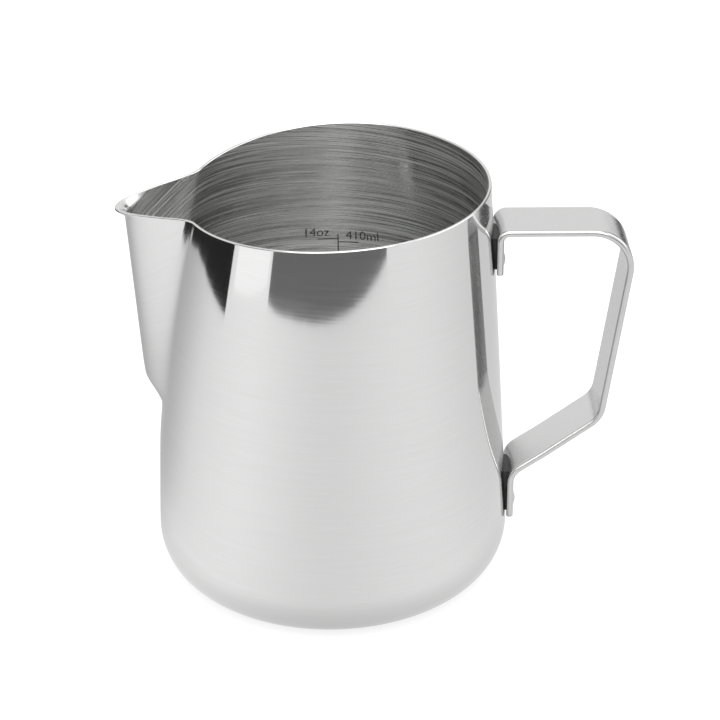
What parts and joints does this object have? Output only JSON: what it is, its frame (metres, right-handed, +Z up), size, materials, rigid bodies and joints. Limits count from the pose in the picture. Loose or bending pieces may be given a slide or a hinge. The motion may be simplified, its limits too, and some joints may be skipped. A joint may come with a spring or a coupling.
{
  "type": "milk frothing pitcher",
  "caption": "Open steel jug with a rounded bottom corner, a tapering wall, a pressed pouring spout and a bent strap handle.",
  "frame": {"origin": "centre of the flat underside, on the cup's axis", "axes": "+Z up along the cup's axis, +X towards the handle, -X towards the spout"},
  "size_m": [0.1283, 0.0914, 0.1058],
  "materials": {
    "polished_steel": "polished outside with a very fine grain, turned grain inside",
    "satin_steel": "satin, with bright rounded edges",
    "weld_steel": "matt, slightly tinted by heat"
  },
  "bodies": {
    "root": {"cup_body": "polished_steel", "handle_strap": "satin_steel", "weld_nugget_upper_front": "weld_steel", "weld_nugget_upper_back": "weld_steel", "weld_nugget_lower_front": "weld_steel", "weld_nugget_lower_back": "weld_steel"}
  },
  "joints": []
}
